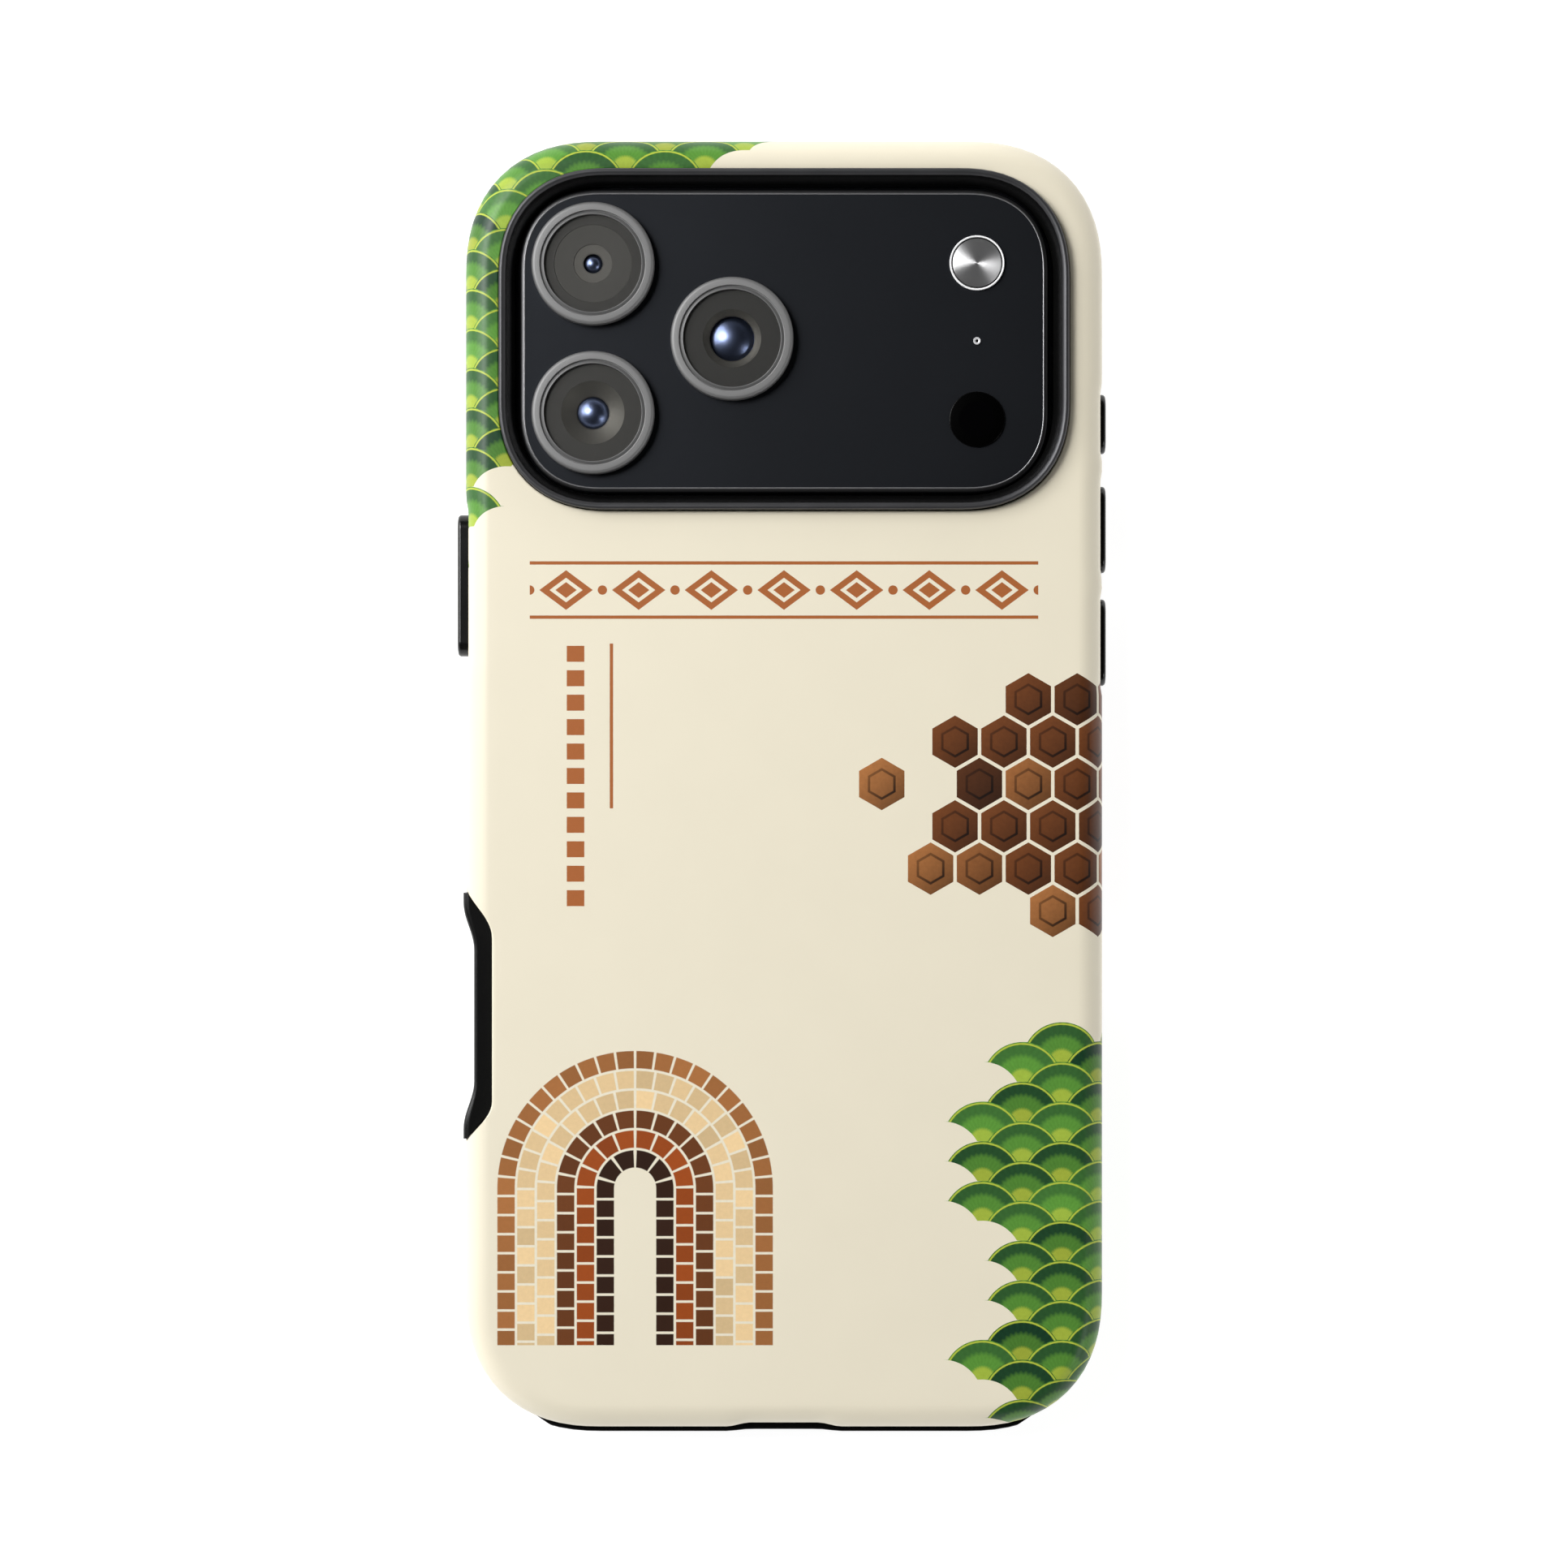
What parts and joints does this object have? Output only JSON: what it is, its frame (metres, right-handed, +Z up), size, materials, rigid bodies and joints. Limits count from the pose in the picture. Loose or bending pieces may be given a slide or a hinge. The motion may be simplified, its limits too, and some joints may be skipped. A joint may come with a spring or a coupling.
{
  "type": "cased smartphone",
  "caption": "Smartphone in a hard printed shell over a rubber liner, lying screen down, with a raised camera bezel, button covers and a charging port opening.",
  "frame": {"origin": "on the surface it lies on, under the middle of the whole outline", "axes": "+X to the right and +Y towards the cameras as seen from the phone's back, +Z up out of the back"},
  "size_m": [0.0858, 0.17, 0.0143],
  "materials": {
    "printed_shell": "satin cream with a printed pattern",
    "black_rubber": "matte black",
    "dark_aluminium": "blasted and dyed dark blue-black",
    "screen_glass": "polished black",
    "grey_aluminium": "satin grey",
    "lens_glass": "polished over a dark barrel",
    "flash_metal": "turned bright",
    "bright_steel": "polished",
    "black_glass": "polished black",
    "black_plastic": "matte black"
  },
  "bodies": {
    "root": {"shell": "printed_shell", "liner": "black_rubber", "phone_body": "dark_aluminium", "screen": "screen_glass", "lens_ring_top": "grey_aluminium", "lens_ring_low": "grey_aluminium", "lens_ring_side": "grey_aluminium", "lens_glass_top": "lens_glass", "lens_glass_low": "lens_glass", "lens_glass_side": "lens_glass", "flash": "flash_metal", "microphone": "bright_steel", "depth_sensor": "black_glass", "camera_key": "dark_aluminium", "port_tongue": "black_plastic"}
  },
  "joints": []
}
